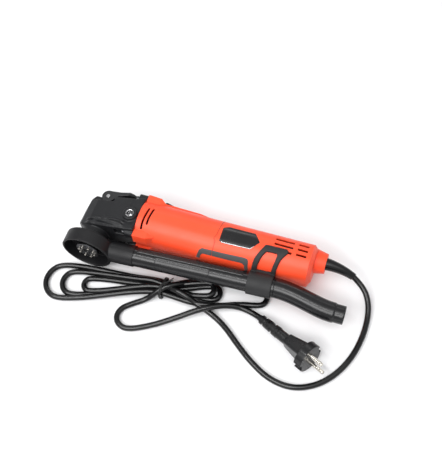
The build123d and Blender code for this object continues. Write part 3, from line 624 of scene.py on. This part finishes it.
# ---- dust tube ---------------------------------------------------------------------------
TUBE_R, TUBE_INSIDE, TUBE_TILT = 12.0, 10.4, math.radians(3.2)
TUBE_FRONT, TUBE_REAR, TUBE_AXIS_Y = 48.5, 233.2, -49.0
TUBE_STEP = 0.5
RIBS = [math.radians(a) for a in (8, 17, 26, 36)]
RIB_FRONT, RIB_REAR, RIB_HEIGHT, RIB_SLOPE = 63, 196, 0.55, 0.75
PANEL = (88.0, 155.0, math.radians(-75), math.radians(-7))      # from x, to x, from angle, to angle
PANEL_CORNER, PANEL_DEPTH, PANEL_SLOPE = 3.0, 0.45, 0.7


def tube_radius(x, a):
    """The tube's outer radius, with its long ribs and the shallow recess beside them."""
    r = TUBE_R
    ends = smooth_step((x - RIB_FRONT) / 3) * smooth_step((RIB_REAR - x) / 3)
    for rib in RIBS:
        r += RIB_HEIGHT * ends * smooth_step(1.5 - abs(a - rib) * TUBE_R / RIB_SLOPE)
    inside_x = min(x - PANEL[0], PANEL[1] - x)
    inside = min(inside_x, (a - PANEL[2]) * TUBE_R, (PANEL[3] - a) * TUBE_R)
    corner_x = max(0.0, PANEL_CORNER - inside_x)
    corner_a = max(0.0, PANEL_CORNER - min(a - PANEL[2], PANEL[3] - a) * TUBE_R)
    if min(corner_x, corner_a) > 0:
        inside = PANEL_CORNER - math.hypot(corner_x, corner_a)
    return r - PANEL_DEPTH * smooth_step(inside / PANEL_SLOPE)


def tube_piece():
    """The tube's outside from front to rear, then its rear face and its bore back to the front."""
    count = int((TUBE_REAR - TUBE_FRONT) / TUBE_STEP) + 1
    stations = [TUBE_FRONT + TUBE_STEP * k for k in range(count)]
    around = 240
    points = []
    for x in stations + [TUBE_REAR, TUBE_REAR, TUBE_FRONT]:
        centre = Vector((x, TUBE_AXIS_Y + math.tan(TUBE_TILT) * x, 0))
        across = Vector((-math.sin(TUBE_TILT), math.cos(TUBE_TILT), 0))
        wall = len(points) >= (len(stations) + 1) * around
        for k in range(around):
            a = math.pi * (2 * k / around - 1)
            r = TUBE_INSIDE if wall else tube_radius(x, a)
            p = centre + r * (math.cos(a) * Vector((0, 0, 1)) + math.sin(a) * across)
            points.append(tuple(p))
    rings = len(stations) + 3
    faces = lathe_faces(rings, around, closed_ends=False)
    last = (rings - 1) * around
    faces += [(last + k, last + (k + 1) % around, (k + 1) % around, k) for k in range(around)]
    return new_piece("ribbed_tube", points, faces, "housing", "tube_plastic")


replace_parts(tube_piece(), "dust_tube")

# ---- plug boot and wire tie --------------------------------------------------------------
PLUG_TURN, PLUG_TILT = math.radians(-27), math.radians(9)


def in_plug(x, y, z):
    """A point given on the plug's own axes, with x towards its pins."""
    lifted = Vector((x * math.cos(PLUG_TILT) - z * math.sin(PLUG_TILT), y,
                     x * math.sin(PLUG_TILT) + z * math.cos(PLUG_TILT)))
    turned_x = lifted.x * math.cos(PLUG_TURN) - lifted.y * math.sin(PLUG_TURN)
    turned_y = lifted.x * math.sin(PLUG_TURN) + lifted.y * math.cos(PLUG_TURN)
    return PLUG_START[0] + turned_x, PLUG_START[1] + turned_y, PLUG_START[2] + lifted.z


BOOT_LENGTH, BOOT_STEP = 32.0, 0.25
FIRST_RING, LAST_RING, RING_PITCH, RING_WIDTH = 3.6, 30.4, 7.0, 3.4
RING_EDGE = 0.4


def boot_piece():
    """Ribbed strain relief: rings joined by bridges that change side from gap to gap."""
    points = []
    stations = [BOOT_STEP * k for k in range(int(BOOT_LENGTH / BOOT_STEP) + 1)]
    around = 72
    for x in stations:
        core = 3.8 + 1.4 * x / BOOT_LENGTH
        ring = 5.5 + 0.045 * x
        phase = (x - FIRST_RING) % RING_PITCH
        gap = int((x - FIRST_RING) // RING_PITCH)
        on_ring = 0.0
        if FIRST_RING <= x < LAST_RING:
            on_ring = smooth_step(phase / RING_EDGE) * smooth_step((RING_WIDTH - phase) / RING_EDGE)
        for k in range(around):
            a = 2 * math.pi * k / around
            bridge = 0.0
            if FIRST_RING < x < BOOT_LENGTH:
                bridge = smooth_step((abs(math.sin(a + gap * math.pi / 2)) - 0.80) / 0.06)
            r = core + (ring - core) * max(on_ring, bridge)
            points.append(in_plug(x, r * math.cos(a), r * math.sin(a)))
    return new_piece("ribbed_boot", points, lathe_faces(len(stations), around), "housing", "plug_plastic")


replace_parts(boot_piece(), "plug_boot")

TIE_LOW, TIE_HIGH = FLOOR + 0.9, CORD_Z + 17.4
TIE_START_X, LAP_STEP = 100.2, 1.7
TIE_LAP = [(-66, TIE_HIGH), (-73, TIE_HIGH - 0.8), (-78.6, TIE_HIGH - 5), (-79.2, TIE_LOW + 6),
           (-76.5, TIE_LOW), (-66, TIE_LOW), (-56, TIE_LOW), (-53.0, TIE_LOW + 6), (-53.4, TIE_HIGH - 6),
           (-58, TIE_HIGH - 1.6)]
wraps = []
for lap in range(2):
    for place, (y, z) in enumerate(TIE_LAP):
        wraps.append((TIE_START_X + LAP_STEP * (lap + place / len(TIE_LAP)), y, z))
wraps += [(103.4, -65.5, TIE_HIGH + 0.4), (104.6, -67.5, TIE_HIGH + 0.8)]
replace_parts(curve_piece("wire_tie", wraps, 0.75, "tie_wire"), "cord_tie")

# The tie's two ends wind round each other for some steps and then spread apart.
TWIST_STEPS, TWISTED, TWIST_TURN, TWIST_R = 19, 10, 1.6, 0.6
for number in range(2):
    twist = []
    for k in range(TWIST_STEPS):
        free = max(0, k - (TWISTED - 1))
        a = TWIST_TURN * (k - free) + math.pi * number
        aside = (TWIST_R + 0.55 * free) * math.cos(a)
        lift = 0.14 * k + (0 if free else TWIST_R * math.sin(a))
        twist.append((103.2 + 0.55 * k, -65.5 + 0.45 * k + aside, TIE_HIGH + 1.0 + lift))
    curve_piece("tie_end_" + "ab"[number], twist, 0.6, "tie_wire")

# ---- stage, light and camera -------------------------------------------------------------
floor_mesh = bpy.data.meshes.new("floor")
HALF_FLOOR, FLOOR_LEVEL = 6.0, -0.0004
corners = [(x * HALF_FLOOR, y * HALF_FLOOR, FLOOR_LEVEL) for x, y in ((-1, -1), (1, -1), (1, 1), (-1, 1))]
floor_mesh.from_pydata(corners, [], [(0, 1, 2, 3)])
floor = placed("floor", floor_mesh)
floor_mesh.materials.append(surface("floor_paper", (0.84, 0.84, 0.85), tone=(0.83, 0.83, 0.84), rough=0.75,
                                    grain=500, grain_height=0.02))

world = bpy.data.worlds.new("studio")
world.use_nodes = True
sky = world.node_tree.nodes["Background"]
sky.inputs["Color"].default_value = (1.0, 1.0, 1.0, 1)
sky.inputs["Strength"].default_value = 0.55
bpy.context.scene.world = world
bpy.context.scene.view_settings.view_transform = "Standard"


def lamp(name, light, place, direction):
    made = placed(name, light)
    made.location = place
    made.rotation_mode = "QUATERNION"
    made.rotation_quaternion = Vector(direction).to_track_quat("-Z", "Y")


def softbox(name, place, target, size, power):
    light = bpy.data.lights.new(name, "AREA")
    light.shape = "RECTANGLE"
    light.size, light.size_y = size
    light.energy = power
    lamp(name, light, place, Vector(target) - Vector(place))


softbox("key", (-0.25, -0.80, 0.95), (0, 0, 0), (1.1, 0.40), 8.5)
softbox("fill", (0.5, -0.2, 1.3), (0, 0, 0), (0.9, 0.9), 2.5)
softbox("strip", (-0.15, -0.30, 1.15), (0, -0.02, 0), (1.3, 0.05), 4.0)
softbox("back", (-0.4, 0.95, 0.9), (0, 0, 0), (1.2, 0.20), 2.0)

day = bpy.data.lights.new("overhead", "SUN")
day.energy = 0.8
day.angle = math.radians(50)
lamp("overhead", day, (0, 0, 2), (0.15, 0.45, -1))

CAMERA_PLACE = (0.20765, -0.4052, 0.8652)
CAMERA_RIGHT = Vector((0.9444, 0.3232, -0.0615))
CAMERA_UP = Vector((-0.2502, 0.827, 0.5031))
LENS = 62.7
view = bpy.data.cameras.new("camera")
view.lens = LENS
view.sensor_width = 36.0
view.clip_start, view.clip_end = 0.05, 30.0
camera = placed("camera", view)
back = CAMERA_RIGHT.cross(CAMERA_UP).normalized()
axes = Matrix((CAMERA_RIGHT.normalized(), back.cross(CAMERA_RIGHT).normalized(), back))
camera.matrix_world = Matrix.Translation(CAMERA_PLACE) @ axes.transposed().to_4x4()
bpy.context.scene.camera = camera
